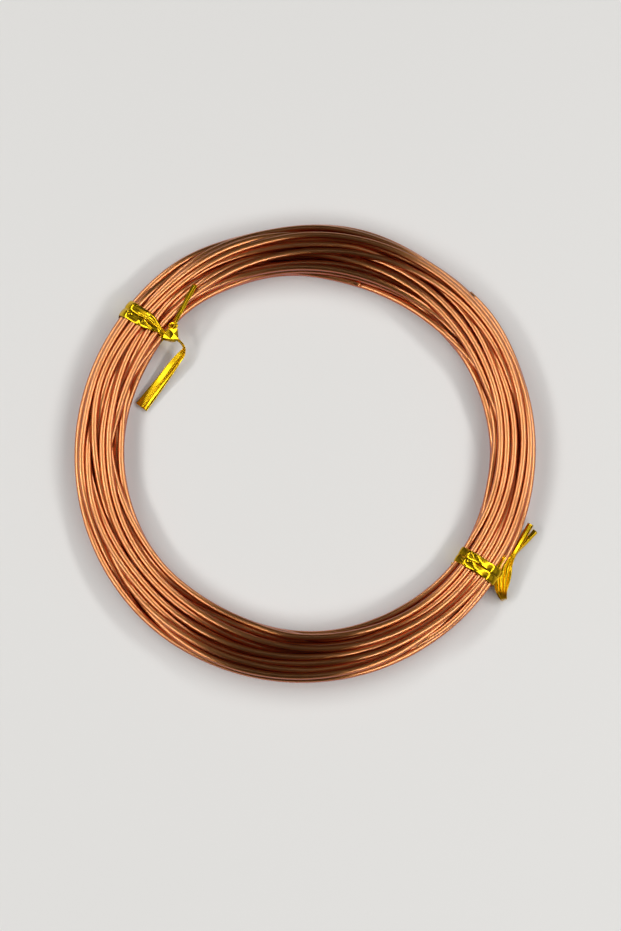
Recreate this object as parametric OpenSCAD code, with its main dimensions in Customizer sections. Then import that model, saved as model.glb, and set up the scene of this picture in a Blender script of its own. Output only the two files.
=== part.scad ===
/* [Wire] */
// Diameter of the enamelled wire
wire_d = 2; // [1.2:0.1:2.6]
// Turns lying side by side in the bottom layer
bottom_turns = 8; // [6:1:10]
// Layers of turns, each one turn narrower than the layer below
layers = 4; // [3:1:5]

/* [Coil] */
// Diameter of the ring through the middle of the bundle of turns
ring_d = 124.2; // [100:0.1:180]

/* [Twist ties] */
// Width of the foil strip
strip_w = 3.2; // [2.4:0.1:4.2]
// Thickness of the strip
strip_t = 0.4; // [0.25:0.05:0.6]
// Play between the turns and a strip wrapped round them
strip_play = 0.3; // [0.3:0.05:0.6]
// Gap between the two passes of one strip
pass_gap = 0.3; // [0.1:0.05:0.8]
// Diameter of a tie's knot
knot_d = 4.6; // [3.6:0.1:5.4]
// How far a knot stands off its strip
knot_h = 1.8; // [1:0.1:2.6]

/* [Tie knotted inside the eye] */
// Where this tie goes round the coil, in degrees from +X
inner_tie_at = 141; // [110:1:165]
// How much its second pass is slanted, in degrees
inner_pass_slant = 4; // [0:0.5:5]
// Length of its long tail, along the inside of the coil
inner_tail_l = 20.4; // [12:0.1:26]
// Length of its short tail, over the turns
inner_spike_l = 11.6; // [6:0.1:16]

/* [Tie knotted outside the coil] */
// Where this tie goes round the coil, in degrees from +X
outer_tie_at = 327.3; // [300:0.1:345]
// How far its fold stands off the coil
outer_fold_l = 4.2; // [3:0.1:6]
// Length of its tail, along the outside of the coil
outer_tail_l = 11; // [6:0.1:14]

/* [Hidden] */

// The turns nest in each other's grooves, pressed together a little
pitch = 0.98 * wire_d;
layer_rise = pitch * sin(60);
top_turns = bottom_turns - layers + 1;
stack_h = (layers - 1) * layer_rise;
bottom_half_w = (bottom_turns - 1) * pitch / 2;
top_half_w = (top_turns - 1) * pitch / 2;

// The coil lies on the strips that pass under it
first_turn_z = strip_t + strip_play + wire_d / 2;
last_turn_z = first_turn_z + stack_h;
ring_r = ring_d / 2;
inner_r = ring_r - bottom_half_w - wire_d / 2;
outer_r = ring_r + bottom_half_w + wire_d / 2;
coil_top = last_turn_z + wire_d / 2;

// Corners of the bundle's section, each with the turn from one side's normal to the next
corners = [
    [[ring_r + bottom_half_w, first_turn_z], -90, 30],
    [[ring_r + top_half_w, last_turn_z], 30, 90],
    [[ring_r - top_half_w, last_turn_z], 90, 150],
    [[ring_r - bottom_half_w, first_turn_z], 150, 270]
];
corner_steps = 6;
strip_inside = wire_d / 2 + strip_play;
strip_outside = strip_inside + strip_t;
// How far round the coil each pass lies from the tie's middle
pass_shift = (strip_w + pass_gap) / 2;

// A knot starts inside the strip's thickness, so that the two are one piece
knot_root = strip_inside + strip_t / 4;
knot_top = strip_outside + knot_h;
// How far up the bundle's sloping side each knot sits, as a share of the slope
inner_knot_share = 0.4;
outer_knot_share = 0.3;
bend_r = 0.8;
// Runs of strip lap this far into the bends that join them
strip_lap = 0.3;
// The long tail's end lies just clear of the floor
tail_end_z = strip_t;

$fn = 48;

// Point at a distance from the coil's centre line, an arc length round from a tie, and a height
function at(radius, arc, z) = [
    radius * cos(arc / radius * 180 / PI),
    radius * sin(arc / radius * 180 / PI),
    z
];

// Outline of the bundle's section, grown on all sides
function section_outline(grow) = [
    for (c = corners)
        for (k = [0:corner_steps])
            let (a = c[1] + (c[2] - c[1]) * k / corner_steps)
                c[0] + grow * [cos(a), sin(a)]
];

// Point on the sloping side of the bundle, a share of the way up, at a distance off its turns
function on_slope(side, share, off) = [
    ring_r + side * (bottom_half_w + share * (top_half_w - bottom_half_w) + off * cos(30)),
    first_turn_z + share * stack_h + off * sin(30)
];

// Section through all the turns, closed between them
module turns_section() {
    for (layer = [0:layers - 1])
        for (turn = [0:bottom_turns - 1 - layer])
            translate([
                ring_r - bottom_half_w + (turn + layer / 2) * pitch,
                first_turn_z + layer * layer_rise
            ])
                circle(d = wire_d);
    polygon([for (c = corners) c[0]]);
}

// One pass of a strip, tight round the bundle
module strip_pass(arc, slant) {
    rotate([0, 0, arc / ring_r * 180 / PI])
        translate([ring_r, 0, 0])
            rotate([90, 0, slant])
                translate([-ring_r, 0, 0])
                    linear_extrude(height = strip_w, center = true)
                        difference() {
                            polygon(section_outline(strip_outside));
                            polygon(section_outline(strip_inside));
                        }
}

// Flat strip from one point to another, leaning about its own length
module strip_run(from, to, from_w, to_w, lean) {
    run = to - from;
    length = norm(run);
    translate(from)
        rotate([0, -asin(run[2] / length), atan2(run[1], run[0])])
            rotate([lean, 0, 0])
                linear_extrude(height = strip_t, center = true)
                    polygon([
                        [-strip_lap, -from_w / 2],
                        [length + strip_lap, -to_w / 2],
                        [length + strip_lap, to_w / 2],
                        [-strip_lap, from_w / 2]
                    ]);
}

// Pinched bend between two runs of strip
module bend(place) {
    translate(place)
        sphere(r = bend_r);
}

// Knot standing square off the bundle's sloping side
module knot(side, share, arc) {
    root = on_slope(side, share, knot_root);
    rotate([0, 0, arc / root[0] * 180 / PI])
        translate([root[0], 0, root[1]])
            rotate([0, side * 60, 0])
                cylinder(d = knot_d, h = knot_top - knot_root);
}

module wire_coil() {
    color("#c8692f")
        rotate_extrude($fn = 120)
            turns_section();
}

module tie_knotted_inside() {
    // The long tail drops from the knot to a bend in the eye, then runs along the turns
    bend_off_turns = 6.3;
    bend_arc = -1.6;
    bend_z = 3.4;
    tail_off_turns = 2.9;
    tail_link_w = 2;
    tail_root_w = 2.4;
    tail_w = 4;
    // The short tail climbs to the top of the turns and lies there on its edge
    spike_arc = -7;
    spike_w = 1.6;
    climb_lean = 60;
    spike_lean = 80;
    head = on_slope(-1, inner_knot_share, knot_top - bend_r);
    knot_head = at(head[0], -pass_shift, head[1]);
    tail_bend = at(inner_r - bend_off_turns, bend_arc, bend_z);
    tail_end = at(inner_r - tail_off_turns, bend_arc + inner_tail_l, tail_end_z);
    spike_z = coil_top + strip_play + bend_r;
    spike_bend = at(ring_r - top_half_w - wire_d, spike_arc, spike_z);
    spike_end = at(ring_r - top_half_w + wire_d / 2, spike_arc - inner_spike_l, spike_z);
    color("#d9a514")
        rotate([0, 0, inner_tie_at]) {
            strip_pass(-pass_shift, 0);
            strip_pass(pass_shift, inner_pass_slant);
            knot(-1, inner_knot_share, -pass_shift);
            strip_run(knot_head, tail_bend, tail_link_w, tail_link_w, 0);
            bend(tail_bend);
            strip_run(tail_bend, tail_end, tail_root_w, tail_w, 0);
            strip_run(knot_head, spike_bend, spike_w, spike_w, climb_lean);
            bend(spike_bend);
            strip_run(spike_bend, spike_end, spike_w, spike_w, spike_lean);
        }
}

module tie_knotted_outside() {
    // The twisted ends run out and down to a fold beside the coil, and back up to a neck
    fold_arc = -5.2;
    fold_z = 1.3;
    root_w = 3;
    fold_w = 2.4;
    fold_lean = 40;
    neck_off_turns = 0.9;
    neck_arc = 6.8;
    neck_z = 4.2;
    // From the neck the tail lies along the outer turns
    tail_off_turns = 2.1;
    tail_z = 2;
    head = on_slope(1, outer_knot_share, knot_top - bend_r);
    knot_head = at(head[0], 0, head[1]);
    fold = at(outer_r + outer_fold_l, fold_arc, fold_z);
    neck = at(outer_r + neck_off_turns, neck_arc, neck_z);
    tail_end = at(outer_r + tail_off_turns, neck_arc + outer_tail_l, tail_z);
    color("#d9a514")
        rotate([0, 0, outer_tie_at]) {
            strip_pass(-pass_shift, 0);
            strip_pass(pass_shift, 0);
            knot(1, outer_knot_share, 0);
            strip_run(knot_head, fold, root_w, fold_w, fold_lean);
            bend(fold);
            strip_run(fold, neck, fold_w, fold_w, -fold_lean);
            bend(neck);
            strip_run(neck, tail_end, fold_w, strip_w, 0);
        }
}

wire_coil();
tie_knotted_inside();
tie_knotted_outside();
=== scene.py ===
"""A coil of enamelled copper wire, held in two places by flat gold foil ties.

The wire is one round wire of 26 turns. Its turns are worked out by pressing them together,
section by section round the coil, while those that show are drawn to a table of stretches.
Lengths in the lay and in the ties are millimetres, angles are degrees anticlockwise from +X,
and the meshes are metres.
"""
import math

import bmesh
import bpy
import numpy as np
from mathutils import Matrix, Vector


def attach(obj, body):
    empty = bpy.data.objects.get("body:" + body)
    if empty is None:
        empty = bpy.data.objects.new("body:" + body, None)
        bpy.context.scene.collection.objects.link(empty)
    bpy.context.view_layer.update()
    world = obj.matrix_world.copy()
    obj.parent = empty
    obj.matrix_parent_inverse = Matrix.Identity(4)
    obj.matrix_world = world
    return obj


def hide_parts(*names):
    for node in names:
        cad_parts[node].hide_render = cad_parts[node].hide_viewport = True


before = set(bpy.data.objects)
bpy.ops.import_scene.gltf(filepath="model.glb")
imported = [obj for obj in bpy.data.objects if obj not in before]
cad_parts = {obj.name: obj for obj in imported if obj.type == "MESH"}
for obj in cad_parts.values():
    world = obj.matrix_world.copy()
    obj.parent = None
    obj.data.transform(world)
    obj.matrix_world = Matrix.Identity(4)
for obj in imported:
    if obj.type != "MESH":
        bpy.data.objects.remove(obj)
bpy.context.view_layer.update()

MM = 0.001
WIRE_D = 2.0
WIRE_R = WIRE_D / 2

# The two places where a tie holds the bundle, in degrees
INNER_TIE_AT = 141.0
OUTER_TIE_AT = 327.3

# ---------------------------------------------------------------- camera

VIEW_LIFT = 80.0            # degrees above the floor, looking from the front
VIEW_AWAY = 700.0           # millimetres from the coil
VIEW_TALL = 282.1           # millimetres of the coil's level that the frame's height takes in
AIM = (1.5, -4.75, 3.0)     # the point that the camera looks at, in millimetres
SENSOR_TALL = 24.0          # millimetres
TIP = math.radians(90 - VIEW_LIFT)


def add_camera():
    """Camera on the front side, tipped down, with its lens set from the height it takes in."""
    data = bpy.data.cameras.new("camera")
    data.sensor_fit = "VERTICAL"
    data.sensor_height = SENSOR_TALL
    data.lens = data.sensor_height * VIEW_AWAY / VIEW_TALL
    camera = bpy.data.objects.new("camera", data)
    back = Vector((0, -math.sin(TIP), math.cos(TIP)))
    camera.location = (Vector(AIM) + back * VIEW_AWAY) * MM
    camera.rotation_euler = back.to_track_quat("Z", "Y").to_euler()
    bpy.context.scene.collection.objects.link(camera)
    bpy.context.scene.camera = camera


# ---------------------------------------------------------------- the lay of the wire

FIRST = 72.0                # where the inner end is cut
LAST = 44.7                 # where the outer end is cut
TURNS = 26
STEP = 2.0                  # degrees from one section to the next
SECTIONS = int(360 / STEP)
STATIONS = int(round(((TURNS * 360 + LAST) - FIRST) / STEP)) + 1

# Stretches of wire that lie on the face of the coil, in order from the inner end: the turn,
# counted from 0 at angle 0, then (angle, radius) along the stretch, as they look from the
# front. Between two stretches the wire runs inside the bundle. The radii were read off, and a
# few were moved afterwards. The turn numbers and the order were found by a search that joined
# the stretches into one wire, and a program thinned the points and printed the table.
STRETCHES = (
    (0, ((FIRST, 54.0), (78, 53.9), (84, 54.3), (95, 55.7))),
    (0, ((283, 55.4), (295, 55.6), (308, 56.2), (320, 57.2), (350, 58.6), (380, 60.4), (392, 61.3),
         (431, 62.8))),
    (1, ((234, 66.8), (252, 67.1), (279, 65.9))),
    (2, ((86, 63.7), (131, 63.0))),
    (2, ((138, 62.4), (162, 60.3), (203, 59.1), (230, 58.1), (245, 57.8), (265, 58.8), (305, 61.5),
         (323, 62.7), (333, 62.4), (340, 62.9), (356, 64.0))),
    (3, ((149, 63.3), (168, 62.0), (205, 61.2), (228, 59.9), (240, 59.6), (257, 60.0))),
    (4, ((168, 57.8), (187, 56.9))),
    (4, ((330, 57.0), (345, 57.2), (372, 57.9), (380, 57.9))),
    (5, ((37, 58.4), (52, 57.4), (72, 56.7), (112, 57.3), (130, 58.0), (140, 57.7), (152, 57.6))),
    (6, ((48, 56.0), (66, 55.5))),
    (6, ((194, 57.8), (205, 57.4), (225, 56.1), (234, 55.8))),
    (7, ((154, 56.5), (185, 56.3), (207, 55.7))),
    (7, ((264, 57.8), (295, 59.1), (323, 60.9), (335, 61.5), (350, 62.6), (393, 65.2))),
    (8, ((178, 65.8), (195, 64.6), (215, 63.1), (250, 62.1), (275, 61.7), (323, 64.3), (348, 65.1),
         (365, 66.6), (410, 67.7), (470, 65.2), (482, 64.6), (492, 63.6), (503, 63.4), (518, 64.4),
         (537, 62.8))),
    (10, ((250, 68.4), (265, 68.9))),
    (10, ((284, 68.5), (305, 67.6), (315, 67.1), (323, 66.9), (332, 67.9), (340, 67.6), (346, 67.4))),
    (11, ((77, 68.0), (87, 67.4), (107, 67.0), (117, 66.5), (137, 65.4), (145, 65.4), (159, 66.0),
          (180, 63.8), (197, 62.3))),
    (12, ((52, 59.0), (75, 58.5), (92, 57.9), (121, 58.9))),
    (13, ((262, 63.2), (278, 63.1))),
    (14, ((25, 60.2), (38, 60.4), (70, 62.0))),
    (14, ((214, 66.6), (222, 66.9), (236, 68.2), (248, 68.2), (280, 67.1), (292, 66.9), (315, 66.2))),
    (15, ((48, 66.4), (60, 66.3), (103, 64.6))),
    (15, ((176, 66.3), (205, 65.7), (218, 65.1), (235, 64.8), (255, 64.4), (280, 64.1), (305, 65.0),
          (323, 65.8), (333, 66.5), (345, 67.1), (355, 67.8), (390, 68.8), (420, 68.5), (440, 68.7),
          (455, 68.4), (468, 68.4), (497, 66.6), (508, 66.5))),
    (16, ((200, 66.5), (210, 66.2), (230, 66.3), (245, 66.0), (275, 65.3), (299, 65.6))),
    (16, ((352, 65.1), (370, 65.5), (395, 65.9), (425, 63.9), (445, 61.8), (470, 60.1), (485, 59.4),
          (518, 58.2), (538, 58.5))),
    (18, ((2, 58.4), (30, 58.8), (55, 59.8), (85, 60.6))),
    (18, ((106, 61.5), (123, 61.4), (132, 61.0))),
    (20, ((121, 62.6), (130, 62.0), (148, 60.0))),
    (21, ((20, 58.2), (35, 56.4), (47, 55.2), (60, 54.3), (71, 54.2))),
    (21, ((121, 56.0), (132, 56.2), (155, 55.8), (180, 56.0))),
    (21, ((236, 56.7), (254, 56.1))),
    (21, ((344, 56.6), (375, 57.0), (392, 56.5))),
    (22, ((44, 57.0), (80, 55.6), (90, 55.9), (105, 56.0), (125, 56.5), (135, 56.7), (145, 56.4),
          (166, 57.5))),
    (22, ((182, 58.1), (206, 56.1), (215, 55.7), (225, 54.9), (235, 54.5), (245, 54.1), (254, 54.3))),
    (22, ((258, 55.2), (282, 56.3), (308, 58.1), (350, 60.5), (380, 62.4), (403, 64.4), (411, 64.7))),
    (24, ((51, 68.7), (79, 69.8), (95, 68.7))),
    (24, ((110, 69.2), (124, 70.0), (140, 69.2), (165, 69.1), (190, 69.2), (230, 69.8), (260, 69.1),
          (305, 68.5), (323, 68.1), (336, 68.7), (355, 68.7), (372, 69.1), (385, 69.5), (394, 69.0))),
    (25, ((120, 68.5), (136, 68.7), (145, 67.9), (158, 67.4), (175, 67.5), (220, 68.1))),
    (26, ((31, 69.6), (37, 70.1), (LAST, 69.5))),
)

# Edges of the bundle, as (angle, radius) seen from the front, read off and then moved
INNER_EDGE = ((0, 55.9), (32, 55.4), (48, 54.1), (60, 53.2), (78, 52.9), (90, 54.0), (114, 55.0),
              (132, 55.9), (150, 54.9), (180, 55.0), (216, 54.5), (234, 53.2), (246, 52.9),
              (270, 53.8), (300, 54.4), (318, 55.4), (330, 55.7), (345, 55.6))
OUTER_EDGE = ((0, 69.9), (22, 70.3), (30, 70.6), (37, 71.0), (44, 70.6), (50, 69.6), (60, 69.7),
              (78, 70.3), (90, 69.6), (102, 68.9), (114, 69.6), (123, 70.5), (150, 69.9),
              (180, 70.1), (210, 70.6), (230, 70.7), (250, 70.0), (270, 69.5), (300, 69.2),
              (324, 69.0), (336, 69.4))
EDGE_WAVES = 14             # the edges keep their waves round the coil up to fewer than this many

# How the turns are pressed together: rounds, stiffness reach in stations, sinking per round,
# pull to the stretches and push between touching turns
PRESSING = ((200, 12, 0.008, 0.15, 0.5), (300, 10, 0.004, 0.10, 0.5), (200, 8, 0.001, 0.05, 0.5))
UPRIGHT = 1.3               # the stiffness reach in height, over that in radius
SIGHT_LEVEL = 3.0           # the height at which radii are read
SIGHT_RISE = 1.17           # how far the middle from which radii are read lies in front of the coil's
TIE_REACH = 9.0             # degrees to each side over which a tie's grip fades
TIE_LIFT = 0.45             # the ties' foil holds the bundle this far off the floor
TOP_AT_TIE = 6.9            # height of the top turns' centres at a tie
TOP_BETWEEN = 7.5           # and between the ties

# A stretch's rank says how far it lies on top: 1 in its middle, less towards its ends, and 0
# for wire inside the bundle
END_RANK = 0.5              # rank at a stretch's ends
RANK_RISE = 25              # degrees from a stretch's end over which its rank rises
RANK_SPREAD = 7             # stations over which ranks are evened out, twice
PULL_SPREAD = 5             # stations over which the pull to a stretch sets in
RANK_APART = 0.25           # turns further apart in rank than this have a set order in height

# Where the turns start in height, before they are pressed
START_HEIGHT = 4.2          # at rank 0, next to a stretch
START_RISE = 3.0            # how much higher at rank 1
START_LEAST = 1.2
DEEP_AFTER = 60             # degrees from a stretch at which hidden wire is at its full depth
DEPTH = 2.6                 # that depth, on average
DEPTH_SWING = 1.6           # how much it goes up and down
SWING_BY_TURN = 2.4         # how fast it does so, in radians a turn
SWING_BY_STATION = 0.013    # and in radians a station

# How turns give way to each other and to the bundle's outline
HIDDEN_SINK = 2             # hidden wire sinks this many times as fast
CROSSES = 0.8               # turns nearer in radius than this share of a width are put in order
HALF_OVER = 0.5             # they are in order from this share of the height that clears them
SHOULDER = 4.5              # highest that centres may lie at the bundle's edges
SHOULDER_CURVE = 0.16       # further in, that rises by the root of the distance over this
RIM_EASE = 0.15             # added to the distance from the edges, which eases the shoulder
RIM_LEAST = 0.02            # the least that the distance counts as


def curve_through(points, at):
    """Smooth curve through (x, y) points: between two points a cubic whose slope at each point
    is the one from its neighbours."""
    x, y = np.array(points, float).T
    slope = np.gradient(y, x) if len(x) > 2 else np.full(len(x), (y[-1] - y[0]) / (x[-1] - x[0]))
    i = np.clip(np.searchsorted(x, at) - 1, 0, len(x) - 2)
    width = x[i + 1] - x[i]
    t = np.clip((at - x[i]) / width, 0, 1)
    start = (1 + 2 * t) * (1 - t) ** 2 * y[i] + t * (1 - t) ** 2 * width * slope[i]
    return start + t * t * (3 - 2 * t) * y[i + 1] + t * t * (t - 1) * width * slope[i + 1]


def round_the_coil(points, at):
    """A closed curve round the coil through (angle, value) points, with its short waves taken out."""
    angle, value = np.array(points, float).T
    waves = np.fft.rfft(np.interp(at % 360, angle, value, period=360))
    waves[EDGE_WAVES:] = 0
    return np.fft.irfft(waves, len(at))


def running_mean(values, width):
    """Mean over that many neighbours, with the ends held."""
    padded = np.pad(values, (width // 2, width - 1 - width // 2), mode="edge")
    return np.convolve(padded, np.ones(width) / width, mode="valid")


def soften(values, reach):
    """The wire's stiffness: waves along it shorter than about that many stations die away."""
    wire = values[:STATIONS]
    line = np.linspace(wire[0], wire[-1], STATIONS)
    odd = np.concatenate([wire - line, (line - wire)[::-1]])
    keep = 1 / (1 + (np.fft.rfftfreq(2 * STATIONS) * reach) ** 4)
    out = values.copy()
    out[:STATIONS] = line + np.fft.irfft(np.fft.rfft(odd) * keep, 2 * STATIONS)[:STATIONS]
    return out


def sight_shift(radius, height, sine):
    """How much further out a point of the wire looks from the front than it lies: what is up
    or near looks larger, and the circle's far and near sides are foreshortened."""
    lift = height - SIGHT_LEVEL
    nearer = (-radius * sine * math.sin(TIP) + lift * math.cos(TIP)) / VIEW_AWAY
    level = radius * (1 - (1 - math.cos(TIP)) * sine ** 2) + lift * math.sin(TIP) * sine
    return level * (1 + nearer) + SIGHT_RISE * sine - radius


def read_stretches(angle):
    """The table of stretches at each station: the radius as it looks from the front, run on
    straight through the hidden wire, the rank, and whether the wire shows."""
    sight = np.full(len(angle), np.nan)
    rank = np.zeros(len(angle))
    for turn, points in STRETCHES:
        points = np.array(points, float) + (360 * turn, 0)
        inside = (angle >= points[0, 0]) & (angle <= points[-1, 0])
        sight[inside] = curve_through(points, angle[inside])
        from_end = np.minimum(angle - points[0, 0], points[-1, 0] - angle)[inside]
        rank[inside] = END_RANK + (1 - END_RANK) * np.clip(from_end / RANK_RISE, 0, 1)
        if points[0, 0] <= FIRST or points[-1, 0] >= angle[STATIONS - 1]:
            rank[inside] = 1
    shows = ~np.isnan(sight)
    station = np.arange(len(angle))
    sight = np.interp(station, station[shows], sight[shows])
    return sight, running_mean(running_mean(rank, RANK_SPREAD), RANK_SPREAD), shows


def tie_grip(around):
    """How firmly a tie holds the bundle at each section: 1 in its middle, fading to each side
    as a bell curve."""
    grip = np.zeros(SECTIONS)
    for at in (INNER_TIE_AT, OUTER_TIE_AT):
        off = (around - at + 180) % 360 - 180
        grip = np.maximum(grip, np.exp(-(off / TIE_REACH) ** 2))
    return grip


def starting_heights(rank, shows):
    """Heights before the pressing: by rank, and the deeper the further the wire is from where
    it shows, going up and down slowly from turn to turn."""
    station = np.arange(len(rank))
    near = np.abs(station[:, None] - station[shows][None]).min(1) * STEP
    swing = np.sin(SWING_BY_TURN * (station // SECTIONS) + SWING_BY_STATION * station)
    depth = np.minimum(near / DEEP_AFTER, 1) * (DEPTH + DEPTH_SWING * swing)
    return np.maximum(START_HEIGHT + START_RISE * rank - depth, START_LEAST)


def lay_turns():
    """Angle, radius and height of the wire's centre at each station.

    All turns are pressed together at once. In every section a pair of turns nearer than one
    wire's width is pushed apart, a turn of higher rank goes over one of lower rank, all sink to
    the floor and stay within the bundle's outline, and the wire is softened along its length so
    that it bends as wire does."""
    station = np.arange(TURNS * SECTIONS)
    angle = FIRST + STEP * station
    around = angle[:SECTIONS]
    sine = np.sin(np.radians(angle))
    sight, rank, shows = read_stretches(angle)
    hold = running_mean(shows.astype(float), PULL_SPREAD)
    height = starting_heights(rank, shows)
    radius = sight - sight_shift(sight, height, sine)

    grip = tie_grip(around)
    floor = WIRE_R + TIE_LIFT * grip
    top = TOP_BETWEEN + (TOP_AT_TIE - TOP_BETWEEN) * grip
    inner_edge = round_the_coil(INNER_EDGE, around) + WIRE_R
    outer_edge = round_the_coil(OUTER_EDGE, around) - WIRE_R

    real = station < STATIONS
    both = real.reshape(TURNS, SECTIONS)
    ranked = np.where(real, rank, -1).reshape(TURNS, SECTIONS)
    pair = both[:, None] & both[None] & ~np.eye(TURNS, dtype=bool)[:, :, None]
    above = ranked[:, None] - ranked[None]
    ordered = pair & (np.abs(above) > RANK_APART)
    above = np.sign(above)
    for rounds, reach, sink, guide, push in PRESSING:
        for _ in range(rounds):
            shift = sight_shift(radius, height, sine)
            radius = radius + hold * guide * (sight - shift - radius)
            height = height - sink * np.where(shows, 1, HIDDEN_SINK)
            r = radius.reshape(TURNS, SECTIONS)
            h = height.reshape(TURNS, SECTIONS)
            dr = r[:, None] - r[None]
            dh = h[:, None] - h[None]
            apart = np.sqrt(dr * dr + dh * dh) + 1e-9
            overlap = np.where(pair, np.maximum(0, WIRE_D - apart), 0)
            clear = np.sqrt(np.maximum(WIRE_D ** 2 - dr * dr, 0))
            wrong = ordered & (np.abs(dr) < CROSSES * WIRE_D) & (above * dh < HALF_OVER * clear)
            push_r = np.where(wrong, 0, overlap * dr / apart).sum(1)
            push_h = np.where(wrong, above * (clear - above * dh), overlap * dh / apart).sum(1)
            share = push / np.sqrt(np.maximum(1, ((overlap > 0) | wrong).sum(1)))
            h = h + share * push_h
            inner = inner_edge - shift.reshape(TURNS, SECTIONS)
            outer = outer_edge - shift.reshape(TURNS, SECTIONS)
            r = np.clip(r + share * push_r, inner, outer)
            rim = np.maximum(RIM_LEAST, np.minimum(r - inner, outer - r) + RIM_EASE)
            h = np.minimum(h, np.minimum(top, SHOULDER + np.sqrt(rim / SHOULDER_CURVE)))
            radius = soften(r.ravel(), reach)
            height = soften(np.maximum(h, floor).ravel(), reach * UPRIGHT)
            height = np.maximum(height, np.tile(floor, TURNS))
    return angle[:STATIONS], radius[:STATIONS], height[:STATIONS]


# ---------------------------------------------------------------- meshes

def add_mesh(name, points, quads, uv=None, welded=False):
    """A mesh object from a grid's points and its four-cornered faces, smooth shaded. Where it is
    welded, points in one place are made one, which closes its seams and ends."""
    mesh = bpy.data.meshes.new(name)
    mesh.vertices.add(len(points))
    mesh.vertices.foreach_set("co", np.asarray(points, np.float32).ravel())
    mesh.loops.add(quads.size)
    mesh.loops.foreach_set("vertex_index", quads.ravel().astype(np.int32))
    mesh.polygons.add(len(quads))
    mesh.polygons.foreach_set("loop_start", np.arange(0, quads.size, 4, dtype=np.int32))
    mesh.polygons.foreach_set("use_smooth", np.ones(len(quads), bool))
    mesh.update(calc_edges=True)
    mesh.validate()
    if uv is not None:
        layer = mesh.uv_layers.new(name="UVMap")
        layer.data.foreach_set("uv", np.asarray(uv, np.float32).ravel())
    if welded:
        work = bmesh.new()
        work.from_mesh(mesh)
        bmesh.ops.remove_doubles(work, verts=work.verts, dist=1e-7)
        work.to_mesh(mesh)
        work.free()
    obj = bpy.data.objects.new(name, mesh)
    bpy.context.scene.collection.objects.link(obj)
    return obj


def unit(vectors):
    """Vectors at length one."""
    return vectors / np.linalg.norm(vectors, axis=-1, keepdims=True)


def run_along(points):
    """Length along a path up to each of its points."""
    steps = np.linalg.norm(np.diff(points, axis=0), axis=1)
    return np.concatenate([[0], np.cumsum(steps)])


def sweep_rings(centres, across, upward, outline):
    """Carries a closed outline along a path: ring i is centre i plus the outline's two
    coordinates along that ring's own across and upward directions."""
    return centres[:, None] + outline[..., :1] * across[:, None] + outline[..., 1:] * upward[:, None]


def tube_quads(rings, sides):
    """Faces between neighbouring rings, wound so that they point away from the path."""
    i = np.arange(rings - 1)[:, None] * sides
    j = np.arange(sides)[None]
    k = (j + 1) % sides
    return np.stack([i + j, i + k, i + sides + k, i + sides + j], -1).reshape(-1, 4)


WIRE_SIDES = 16
NIP = 0.16                  # how far a cut end's nipped face stands out
NIP_SIZE = 0.86             # that face's size as a share of the wire's


def add_wire(lay):
    """The wire: a round outline carried along the turns, with snipped ends that narrow a little
    and close on a point."""
    angle, radius, height = lay
    a = np.radians(angle)
    path = np.stack([radius * np.cos(a), radius * np.sin(a), height], 1) * MM
    ahead = unit(np.gradient(path, axis=0))
    across = unit(np.cross(ahead, (0, 0, 1)))
    upward = np.cross(across, ahead)
    # two more rings at each end: the nipped face's edge and its middle
    order = np.concatenate([[0, 0], np.arange(len(path)), [-1, -1]])
    size = np.ones(len(order))
    size[[0, -1]] = 0
    size[[1, -2]] = NIP_SIZE
    along = np.zeros(len(order))
    along[[0, 1]] = -NIP * MM
    along[[-2, -1]] = NIP * MM
    centres = path[order] + ahead[order] * along[:, None]
    turn = np.arange(WIRE_SIDES) / WIRE_SIDES * 2 * math.pi
    ring = np.stack([np.cos(turn), np.sin(turn)], 1) * WIRE_R * MM
    points = sweep_rings(centres, across[order], upward[order], size[:, None, None] * ring)
    quads = tube_quads(len(order), WIRE_SIDES)
    # u runs along the wire in lengths of its girth, and v goes once round it
    length = run_along(centres) / (WIRE_D * MM * math.pi)
    i, j = np.mgrid[:len(order) - 1, :WIRE_SIDES]
    u = np.stack([length[i], length[i], length[i + 1], length[i + 1]], -1)
    v = np.stack([j, j + 1, j + 1, j], -1) / WIRE_SIDES
    uv = np.stack([u, v], -1)
    wire = add_mesh("wire", points.reshape(-1, 3), quads, uv, welded=True)
    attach(wire, "root")
    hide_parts("wire_coil")
    return wire


# ---------------------------------------------------------------- ties

FOIL_T = 0.16               # thickness of a tie's foil strip
FOIL_GAP = 0.13             # from the wire's surface to the middle of the foil
FACINGS = 721               # directions in which a loop feels for the turn that reaches furthest
LOOP_POINTS = 220
CREASE_SIDES = 29           # points across a strip
LOOP_WAVES = 4              # slow waves of a strip along its loop round the bundle
CROWN = 2.5                 # how flat a pass is across: 2 is evenly round, more is flatter
WAY_ROUNDS = 3              # how often a pass's way along the turns is evened out
WAY_REACH = 4               # over this many loop points to each side
FLAT_UNDER = 4              # height up to which a pass lies flat and tight
FREE_ABOVE = 7              # height from which its folds have their full size
STRAND_LEVEL = 0.6          # share of a strand's height at which it is level with its strip
SWELL = 0.2                 # how much a folded outline grows and shrinks along its strip
SWELL_WAVE = 5              # how fast it does so, in radians over the strip
SWELL_START = 1             # and where in the wave it starts

# The little ring at the inside tie's twist
EYE_MIDDLE = (-40.3, 37.7, 7.3)
EYE_REACH = (1.15, 0.75, 0.6)   # half its size in X and in Y, and how far it rises and dips
EYE_HIGH_AT = 0.6           # where round it the ring stands highest, in radians
EYE_POINTS = 48
EYE_HALF = 0.42             # half the width of its strip
EYE_LEAN = 0.5              # its strip faces this much outwards
EYE_UP = 0.9                # and this much up


def turns_at(at, angle, radius, height):
    """Centres of all turns in the section at that angle."""
    turn = np.arange(TURNS + 1) * 360 + at
    turn = turn[(turn >= angle[0]) & (turn <= angle[-1])]
    return np.stack([np.interp(turn, angle, radius), np.interp(turn, angle, height)], 1)


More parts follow.
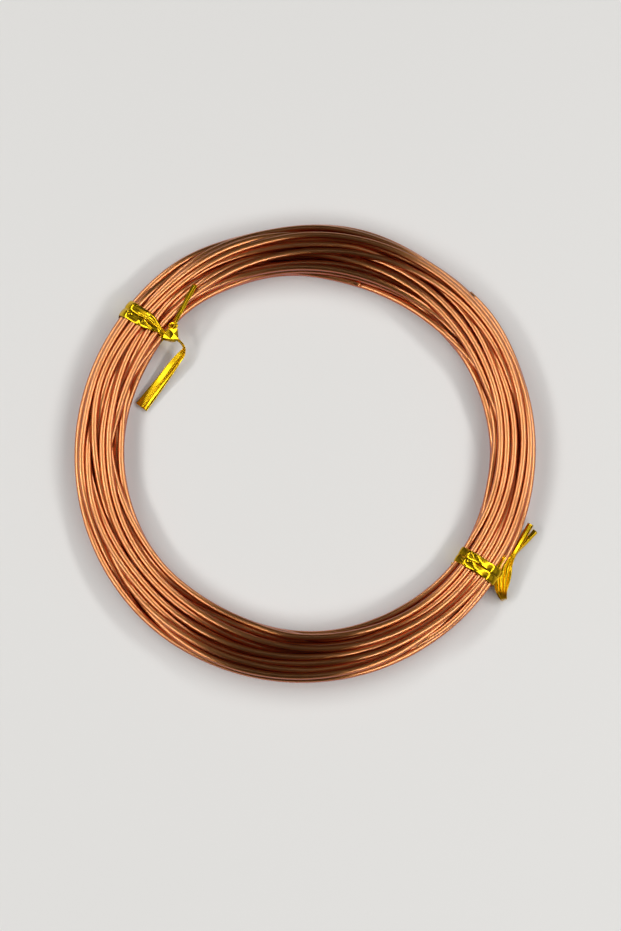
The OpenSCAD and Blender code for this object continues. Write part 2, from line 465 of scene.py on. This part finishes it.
def loop_round(at, lay):
    """Tight loop round the bundle in the section at that angle, from its underside up the outer
    side and down the inner side: in each direction it is the point, on the rim of the turn that
    reaches furthest that way, that faces that direction. Gives (radius, height) points."""
    centres = turns_at(at, *lay)
    facing = np.linspace(-math.pi / 2, 1.5 * math.pi, FACINGS)
    facing = np.stack([np.cos(facing), np.sin(facing)], 1)
    furthest = (centres @ facing.T).argmax(0)
    loop = centres[furthest] + (WIRE_R + FOIL_GAP) * facing
    loop = np.concatenate([loop, loop[:1]])
    length = run_along(loop)
    even = np.linspace(0, length[-1], LOOP_POINTS + 1)[:-1]
    return np.stack([np.interp(even, length, loop[:, 0]), np.interp(even, length, loop[:, 1])], 1)


def strip_mesh(name, path, normal, half, folds, closed=False):
    """A strip of foil carried along a path of millimetre points. Across it u runs from -1 to 1:
    a point of its face is the path's point plus u times the half width along the across
    direction, plus folds(u, s) along the normal, s being the share of the way along the path.
    The outline goes over the face and back under it one foil thickness lower."""
    if closed:
        ahead = unit(np.roll(path, -1, 0) - np.roll(path, 1, 0))
    else:
        ahead = unit(np.gradient(path, axis=0))
    across = unit(np.cross(ahead, normal))
    normal = unit(np.cross(across, ahead))
    u = np.linspace(1, -1, CREASE_SIDES)
    s = np.linspace(0, 1, len(path))
    rise = folds(u[None], s[:, None])
    thick = np.full(len(path), FOIL_T / 2)
    if not closed:
        thick[[0, -1]] = 0
    face = np.stack([half[:, None] * u, rise + thick[:, None]], -1)
    back = np.stack([half[:, None] * u, rise - thick[:, None]], -1)[:, ::-1]
    outline = np.concatenate([face, back], 1)
    rings = sweep_rings(path, across, normal, outline)
    if closed:
        rings = np.concatenate([rings, rings[:1]])
    quads = tube_quads(len(rings), 2 * CREASE_SIDES)
    return add_mesh(name, rings.reshape(-1, 3) * MM, quads, welded=True)


def flat_strip(name, points, folds, count=60):
    """A strip through listed (x, y, z, half width, roll) points: roll tips its face towards
    the right of the way it goes."""
    points = np.array(points, float)
    run = run_along(points[:, :3])
    s = np.linspace(0, run[-1], count)
    x, y, z, half, roll = (curve_through(np.stack([run, column], 1), s) for column in points.T)
    path = np.stack([x, y, z], 1)
    ahead = unit(np.gradient(path, axis=0))
    right = unit(np.cross(ahead, (0, 0, 1)))
    up = np.cross(right, ahead)
    roll = np.radians(roll)[:, None]
    return strip_mesh(name, path, np.cos(roll) * up + np.sin(roll) * right, half, folds)


def pass_strip(name, at, way, lay, folds):
    """One pass of a tie round the bundle. way gives, at shares of the loop, how far the strip's
    middle lies along the turns from the tie's section, and its half width."""
    loop = loop_round(at, lay)
    share, arc, half = np.array(way, float).T
    s = np.arange(LOOP_POINTS) / LOOP_POINTS
    arc = np.interp(s, share, arc, period=1)
    half = np.interp(s, share, half, period=1)
    for _ in range(WAY_ROUNDS):
        arc = (np.roll(arc, WAY_REACH) + arc + np.roll(arc, -WAY_REACH)) / 3
        half = (np.roll(half, WAY_REACH) + half + np.roll(half, -WAY_REACH)) / 3
    turn = math.radians(at)
    outwards = np.array((math.cos(turn), math.sin(turn), 0))
    onwards = np.array((-math.sin(turn), math.cos(turn), 0))
    path = loop[:, :1] * outwards + loop[:, 1:] * (0, 0, 1) + arc[:, None] * onwards
    along = np.roll(loop, -1, 0) - np.roll(loop, 1, 0)
    facing = unit(np.stack([along[:, 1], -along[:, 0]], 1))
    normal = facing[:, :1] * outwards + facing[:, 1:] * (0, 0, 1)
    # tight against the sides and flat under the turns
    loose = np.clip((loop[:, 1:] - FLAT_UNDER) / (FREE_ABOVE - FLAT_UNDER), 0, 1)
    return strip_mesh(name, path, normal, half, lambda u, s: loose * folds(u, s), closed=True)


def drawn_tight(rise, lift, start, dents):
    """A strip drawn tight over a bundle: flat across with rounded edges, rising and falling
    slowly along its length, and dented. A dent is a height at a share of the loop and a place
    across, its spread both ways, and how fast it slants across: a long thin one is a crease."""
    def folds(u, s):
        wave = np.sin(2 * math.pi * LOOP_WAVES * (s - start))
        form = rise * (1 - np.abs(u) ** CROWN) + lift * (1 + wave)
        for share, side, height, long, wide, slant in dents:
            away = ((s - share) / long) ** 2 + ((u - side - slant * (s - share)) / wide) ** 2
            form = form + height * np.exp(-away)
        return form
    return folds


def pleated(depth, pleats):
    """Straight sharp pleats that run the whole length of a strip: a triangle wave across it."""
    def folds(u, s):
        wave = (u + 1) / 2 * pleats
        return depth * (4 * np.abs(wave - np.floor(wave + 0.5)) - 1) / 2
    return folds


def stranded(depth, strands, start, fade):
    """Rounded strands side by side, with sharp grooves between them that fade along the strip:
    the size of a cosine across it."""
    def folds(u, s):
        strand = np.abs(np.cos(math.pi * ((u + 1) / 2 * strands + start)))
        return depth * (strand - STRAND_LEVEL) * (1 - fade * s)
    return folds


def profiled(*corners):
    """One folded outline through (u, height) corners, which grows and shrinks a little along
    the strip."""
    corner, rise = np.array(corners, float).T

    def folds(u, s):
        swell = 1 - SWELL + SWELL * np.sin(SWELL_WAVE * s + SWELL_START)
        return np.interp(u, corner, rise) * swell
    return folds


def twisted_knot(name, corners):
    """A tightly twisted lump of foil: flat facets drawn tight over its corners."""
    lump = bmesh.new()
    for corner in corners:
        lump.verts.new(Vector(corner) * MM)
    bmesh.ops.convex_hull(lump, input=lump.verts)
    mesh = bpy.data.meshes.new(name)
    lump.to_mesh(mesh)
    lump.free()
    knot = bpy.data.objects.new(name, mesh)
    bpy.context.scene.collection.objects.link(knot)
    return knot


def finish_tie(pieces, node, foil):
    """Every piece of a tie gets the foil and rides with the coil, and the tie's node from the model
    is hidden.
    """
    for piece in pieces:
        piece.data.materials.append(foil)
        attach(piece, "root")
    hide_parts(node)


def small_eye(name):
    """The little ring at the twist: a narrow pleated strip along an ellipse that is tipped and
    dips to one side, facing outwards and up."""
    turn = np.linspace(0, 2 * math.pi, EYE_POINTS + 1)[:-1]
    x, y, z = EYE_MIDDLE
    long, short, rise = EYE_REACH
    height = z + rise * np.cos(turn - EYE_HIGH_AT)
    ring = np.stack([x + long * np.cos(turn), y + short * np.sin(turn), height], 1)
    upwards = np.full(len(turn), EYE_UP)
    facing = np.stack([EYE_LEAN * np.cos(turn), EYE_LEAN * np.sin(turn), upwards], 1)
    half = np.full(len(turn), EYE_HALF)
    return strip_mesh(name, ring, unit(facing), half, pleated(0.2, 2), closed=True)


def add_inside_tie(lay, foil):
    """Two passes that draw together at a twist on the inner side. One end hangs down inside the
    coil as a folded tail, the other sticks up over the turns."""
    upper = ((0.03, -0.4, 1.4), (0.16, -0.5, 1.45), (0.29, -0.9, 1.4), (0.39, -1.6, 1.25),
             (0.45, -1.2, 1.0), (0.51, -0.5, 0.65), (0.56, -0.5, 0.65), (0.63, -0.3, 1.2))
    upper_dents = ((0.24, -0.2, 0.12, 0.012, 0.9, 0), (0.30, 0.0, -0.14, 0.045, 0.4, 0),
                   (0.39, -0.55, 0.32, 0.016, 0.4, 0), (0.35, 0.75, -0.15, 0.05, 0.15, 3),
                   (0.45, 0.2, -0.25, 0.05, 0.18, -4))
    lower = ((0.03, 2.4, 1.4), (0.16, 2.4, 1.5), (0.29, 1.9, 1.45), (0.39, 1.2, 1.35),
             (0.45, 0.8, 1.05), (0.51, 0.1, 0.65), (0.56, 0.0, 0.65), (0.63, 1.8, 1.2))
    lower_dents = ((0.27, -0.3, -0.25, 0.014, 0.3, 0), (0.365, 0.2, 0.28, 0.018, 0.45, 0),
                   (0.415, -0.05, -0.3, 0.055, 0.14, 15), (0.46, 0.3, 0.2, 0.018, 0.4, 0),
                   (0.32, -0.6, 0.1, 0.06, 0.2, 0))
    tail = ((-40.4, 34.8, 6.0, 0.9, 10), (-38.8, 33.7, 5.2, 0.5, 25), (-37.4, 32.3, 4.4, 0.42, 20),
            (-37.1, 31.3, 3.9, 0.5, 0), (-37.7, 30.0, 3.4, 1.05, -5), (-39.5, 27.7, 2.9, 1.4, 0),
            (-44.0, 21.7, 1.7, 1.75, 0), (-50.2, 13.7, 0.75, 2.1, 0))
    tail_folds = profiled((-1, 0.15), (-0.75, 0.35), (-0.4, 0.0), (-0.15, -0.35), (0.0, 0.5),
                          (0.9, -0.1), (1, 0.0))
    spike = ((-40.6, 36.6, 7.2, 0.5, -30), (-39.4, 39.2, 8.4, 0.7, -25),
             (-37.0, 43.8, 8.95, 0.8, -22), (-33.7, 50.2, 8.95, 0.85, -22))
    # the ridge on top, the corners round it, and the underside
    twist = ((-41.5, 36.6, 8.0), (-42.9, 35.0, 7.35), (-40.0, 35.2, 7.6), (-41.1, 33.5, 7.4),
             (-44.4, 34.4, 6.6), (-43.3, 33.4, 6.3), (-43.4, 35.9, 6.9),
             (-38.9, 36.9, 6.9), (-38.7, 33.8, 6.4), (-39.6, 32.9, 6.2),
             (-43.6, 34.6, 4.6), (-42.0, 36.6, 4.6), (-39.5, 36.5, 4.4), (-39.3, 33.9, 4.2),
             (-41.0, 33.2, 4.2))
    pieces = [
        pass_strip("inside_tie_upper_pass", INNER_TIE_AT, upper, lay,
                   drawn_tight(rise=0.42, lift=0.22, start=0.36, dents=upper_dents)),
        pass_strip("inside_tie_lower_pass", INNER_TIE_AT, lower, lay,
                   drawn_tight(rise=0.42, lift=0.22, start=0.42, dents=lower_dents)),
        twisted_knot("inside_tie_twist", twist),
        flat_strip("inside_tie_tail", tail, tail_folds, count=110),
        flat_strip("inside_tie_end", spike, profiled((-1, -0.1), (0.2, 0.15), (1, -0.15))),
        small_eye("inside_tie_eye"),
    ]
    finish_tie(pieces, "tie_knotted_inside", foil)


def add_outside_tie(lay, foil):
    """Two passes side by side. The ends are folded over outside the coil into a pleated fan,
    pinched at its neck, and stick out beyond it as two strips."""
    bulge = (0.35, -0.5, 0.6, 0.055, 0.9, 0)
    upper = ((0.05, -0.9, 1.25), (0.30, -0.9, 1.25), (0.60, -0.95, 1.25), (0.74, -1.2, 1.2),
             (0.88, -1.1, 1.2))
    upper_dents = (bulge, (0.44, 0.3, -0.14, 0.02, 0.14, 25), (0.455, -0.2, -0.14, 0.03, 0.14, -22))
    lower = ((0.05, -3.5, 1.25), (0.30, -3.45, 1.25), (0.60, -3.5, 1.25), (0.74, -3.5, 1.2),
             (0.88, -3.5, 1.2))
    lower_dents = (bulge, (0.43, 0.5, -0.22, 0.014, 0.3, 0), (0.47, -0.3, -0.14, 0.04, 0.14, 12))
    fan = ((59.7, -45.4, 0.9, 0.8, 0), (59.2, -44.4, 2.1, 1.3, 6), (58.8, -42.9, 3.2, 1.9, 16),
           (58.8, -41.0, 4.0, 2.6, 26), (59.1, -38.4, 4.9, 3.1, 34), (59.7, -35.7, 5.5, 2.9, 36),
           (61.0, -33.5, 5.3, 1.9, 28), (62.4, -31.8, 4.5, 1.05, 14))
    left_end = ((61.9, -33.2, 4.7, 0.6, 10), (62.9, -31.3, 4.3, 0.75, 0),
                (64.6, -28.4, 3.6, 0.9, -6), (66.6, -25.0, 2.8, 0.95, -8),
                (68.0, -22.6, 2.3, 0.95, -8))
    left_folds = profiled((-1, 0.1), (-0.3, 0.3), (0.6, 0.05), (1, 0.15))
    right_end = ((62.4, -33.0, 4.3, 0.5, 20), (63.7, -31.2, 3.9, 0.6, 16),
                 (66.1, -28.4, 3.2, 0.75, 10), (68.2, -26.1, 2.6, 0.8, 10),
                 (69.5, -24.7, 2.2, 0.85, 10))
    right_folds = profiled((-1, -0.3), (0.1, 0.45), (0.25, 0.4), (1, -0.45))
    stub = ((45.6, -34.9, 0.7, 0.5, 0), (44.7, -34.6, 0.8, 0.5, 0), (43.9, -34.4, 0.9, 0.45, 0))
    pieces = [
        pass_strip("outside_tie_upper_pass", OUTER_TIE_AT, upper, lay,
                   drawn_tight(rise=0.24, lift=0.24, start=0.32, dents=upper_dents)),
        pass_strip("outside_tie_lower_pass", OUTER_TIE_AT, lower, lay,
                   drawn_tight(rise=0.24, lift=0.24, start=0.33, dents=lower_dents)),
        flat_strip("outside_tie_fan", fan, stranded(1.4, 4, start=0.2, fade=0.45), count=90),
        flat_strip("outside_tie_left_end", left_end, left_folds),
        flat_strip("outside_tie_right_end", right_end, right_folds),
        flat_strip("outside_tie_stub", stub, pleated(0.1, 2), count=16),
    ]
    finish_tie(pieces, "tie_knotted_outside", foil)


# ---------------------------------------------------------------- materials

def material(name):
    """A new material with its Principled shader, as (material, node tree, shader)."""
    made = bpy.data.materials.new(name)
    made.use_nodes = True
    tree = made.node_tree
    return made, tree, tree.nodes["Principled BSDF"]


def node(tree, kind, *links, **values):
    """A new node of that kind. Each link is the socket that feeds the input of the same place,
    or a plain value for it, and each named value is set on the node itself."""
    made = tree.nodes.new(kind)
    for name, value in values.items():
        setattr(made, name, value)
    for place, link in enumerate(links):
        if isinstance(link, bpy.types.NodeSocket):
            tree.links.new(link, made.inputs[place])
        else:
            made.inputs[place].default_value = link
    return made


def set_values(made, **values):
    """Sets plain values on a node's inputs, each named as the input is, in lower case and with
    underscores."""
    for name, value in values.items():
        made.inputs[name.replace("_", " ").title().replace("Ior", "IOR")].default_value = value


def two_colours(tree, amount, low, high):
    """The colour that an amount gives between two (amount, colour) ends."""
    ramp = node(tree, "ShaderNodeValToRGB", amount)
    for element, (position, colour) in zip(ramp.color_ramp.elements, (low, high)):
        element.position = position
        element.color = colour
    return ramp.outputs["Color"]


# painted light: a deep amber as painted shade down the wire's sides, and a pale amber as a painted
# highlight on its top
SHADED_SIDE_AMBER = (0.46, 0.050, 0.002, 1)
HIGHLIT_TOP_AMBER = (0.82, 0.300, 0.078, 1)
STREAK_PACE = 0.06          # how fast the streaks' pattern goes by along the wire: slow is long
STREAK_SHARE = 0.3          # how much the streaks add to the colour's amount
SHADE_TO_HIGHLIGHT = (0.35, 0.95)  # heights on the wire's outline, 1 at its top, between which the painted shade of the sides turns to the painted highlight of the top


def copper():
    """Drawn copper under clear enamel: warm metal with slow light and dark streaks along the wire,
    which run round its outline without a seam, with a painted highlight on its top and painted
    shade down its sides."""
    made, tree, shader = material("enamelled_copper")
    uv = node(tree, "ShaderNodeUVMap", uv_map="UVMap")
    part = node(tree, "ShaderNodeSeparateXYZ", uv.outputs["UV"])
    along = node(tree, "ShaderNodeMath", part.outputs["X"], STREAK_PACE, operation="MULTIPLY")
    turn = node(tree, "ShaderNodeMath", part.outputs["Y"], 2 * math.pi, operation="MULTIPLY")
    cosine = node(tree, "ShaderNodeMath", turn.outputs[0], operation="COSINE")
    sine = node(tree, "ShaderNodeMath", turn.outputs[0], operation="SINE")
    place = node(tree, "ShaderNodeCombineXYZ", along.outputs[0], cosine.outputs[0], sine.outputs[0])
    streaks = node(tree, "ShaderNodeTexNoise", place.outputs["Vector"])
    set_values(streaks, scale=2.2, detail=3.0)
    # painted light: the top of the wire is painted pale as a highlight and its sides deep as the
    # shade between the turns, and the streaks' tone is added to that
    top = node(tree, "ShaderNodeMapRange", sine.outputs[0], *SHADE_TO_HIGHLIGHT,
               interpolation_type="SMOOTHSTEP")
    shade = node(tree, "ShaderNodeMath", streaks.outputs["Fac"], STREAK_SHARE, top.outputs["Result"],
                 operation="MULTIPLY_ADD")
    colour = two_colours(tree, shade.outputs[0], (0.1, SHADED_SIDE_AMBER), (1.0, HIGHLIT_TOP_AMBER))
    tree.links.new(colour, shader.inputs["Base Color"])
    # the drawing lines run along the wire, so a highlight spreads across it
    lengthwise = node(tree, "ShaderNodeTangent", direction_type="UV_MAP", uv_map="UVMap")
    tree.links.new(lengthwise.outputs["Tangent"], shader.inputs["Tangent"])
    set_values(shader, metallic=1.0, roughness=0.28, anisotropic=0.9, anisotropic_rotation=0.25)
    set_values(shader, coat_weight=1.0, coat_roughness=0.12, coat_ior=1.65)
    return made


SHADED_GOLD = (0.66, 0.39, 0.008, 1)
BRIGHT_GOLD = (0.76, 0.49, 0.012, 1)


def gold_foil():
    """Bright gold foil: a saturated yellow metal with fine crinkles."""
    made, tree, shader = material("gold_foil")
    place = node(tree, "ShaderNodeTexCoord")
    noise = node(tree, "ShaderNodeTexNoise", place.outputs["Object"])
    set_values(noise, scale=260.0, detail=3.0)
    crinkles = node(tree, "ShaderNodeBump")
    set_values(crinkles, strength=0.1, distance=0.0002)
    tree.links.new(noise.outputs["Fac"], crinkles.inputs["Height"])
    tree.links.new(crinkles.outputs["Normal"], shader.inputs["Normal"])
    colour = two_colours(tree, noise.outputs["Fac"], (0.3, SHADED_GOLD), (0.7, BRIGHT_GOLD))
    tree.links.new(colour, shader.inputs["Base Color"])
    set_values(shader, metallic=1.0, roughness=0.26)
    return made


# ---------------------------------------------------------------- floor and light

PALE = (0.74, 0.73, 0.71, 1)
BACKDROP = (0.77, 0.76, 0.74, 1)    # what the camera and the metal see past the lamps' reach
LIT = (0.25, 0.8)                   # metres from the coil over which that comes in
FLOOR_REACH = 6.0                   # metres to each side


def add_floor():
    """Plain pale floor. Past the lamps' reach the camera and mirrored views see it as pale as
    near the coil, and nothing matt is lit by that."""
    corners = ((-1, -1, 0), (1, -1, 0), (1, 1, 0), (-1, 1, 0))
    points = FLOOR_REACH * np.array(corners)
    floor = add_mesh("floor", points, np.array([[0, 1, 2, 3]]))
    made, tree, shader = material("pale_floor")
    set_values(shader, base_color=PALE, roughness=0.9, specular_ior_level=0.1)
    place = node(tree, "ShaderNodeTexCoord")
    away = node(tree, "ShaderNodeVectorMath", place.outputs["Object"], operation="LENGTH")
    past = node(tree, "ShaderNodeMapRange", away.outputs["Value"], *LIT,
                interpolation_type="SMOOTHSTEP")
    ray = node(tree, "ShaderNodeLightPath")
    mirrored = node(tree, "ShaderNodeMath", ray.outputs["Is Glossy Ray"],
                    ray.outputs["Is Transmission Ray"], operation="MAXIMUM")
    seen = node(tree, "ShaderNodeMath", ray.outputs["Is Camera Ray"], mirrored.outputs[0],
                operation="MAXIMUM")
    amount = node(tree, "ShaderNodeMath", past.outputs["Result"], seen.outputs[0],
                  operation="MULTIPLY")
    plain = node(tree, "ShaderNodeEmission", BACKDROP)
    mix = node(tree, "ShaderNodeMixShader", amount.outputs[0], shader.outputs["BSDF"],
               plain.outputs["Emission"])
    tree.links.new(mix.outputs["Shader"], tree.nodes["Material Output"].inputs["Surface"])
    floor.data.materials.append(made)


def add_softbox(name, place, size, power):
    """A rectangular soft lamp at that place, turned to the coil."""
    data = bpy.data.lights.new(name, "AREA")
    data.shape = "RECTANGLE"
    data.size, data.size_y = size
    data.energy = power
    lamp = bpy.data.objects.new(name, data)
    lamp.location = place
    lamp.rotation_euler = Vector(place).to_track_quat("Z", "Y").to_euler()
    bpy.context.scene.collection.objects.link(lamp)


# Each lamp's size in metres, power in watts, distance in metres, height in degrees, and turn
# from the X axis in degrees
LAMPS = {
    "left_panel": ((1.45, 1.05), 0.9, 0.95, 45, 178),
    "left_core_back": ((0.75, 0.14), 2.5, 0.90, 44, 149),
    "left_core_front": ((0.75, 0.14), 2.5, 0.90, 44, 206),
    "top_strip": ((0.80, 0.08), 0.16, 0.90, 80, 80),
    "right_panel": ((1.45, 1.05), 1.3, 0.95, 45, -4),
    "right_core_front": ((0.85, 0.14), 3.3, 0.90, 44, -42),
    "right_core_back": ((0.85, 0.14), 2.9, 0.90, 44, 29),
}

ROOM = (0.022, 0.022, 0.022, 1)     # the dim light that comes from all round


def add_light():
    """A big soft lamp on the left and on the right, each with two brighter long lamps in front
    of it, and a weak narrow one near the top, in a dim even room."""
    for name, (size, power, away, lift, turned) in LAMPS.items():
        turn = math.radians(turned)
        reach = away * math.cos(math.radians(lift))
        place = (reach * math.cos(turn), reach * math.sin(turn), away * math.sin(math.radians(lift)))
        add_softbox(name, place, size, power)
    world = bpy.data.worlds.new("room")
    world.use_nodes = True
    world.node_tree.nodes["Background"].inputs["Color"].default_value = ROOM
    bpy.context.scene.world = world


# ---------------------------------------------------------------- build

add_camera()
lay = lay_turns()
wire = add_wire(lay)
wire.data.materials.append(copper())
foil = gold_foil()
add_inside_tie(lay, foil)
add_outside_tie(lay, foil)
add_floor()
add_light()
bpy.context.scene.view_settings.view_transform = "Standard"
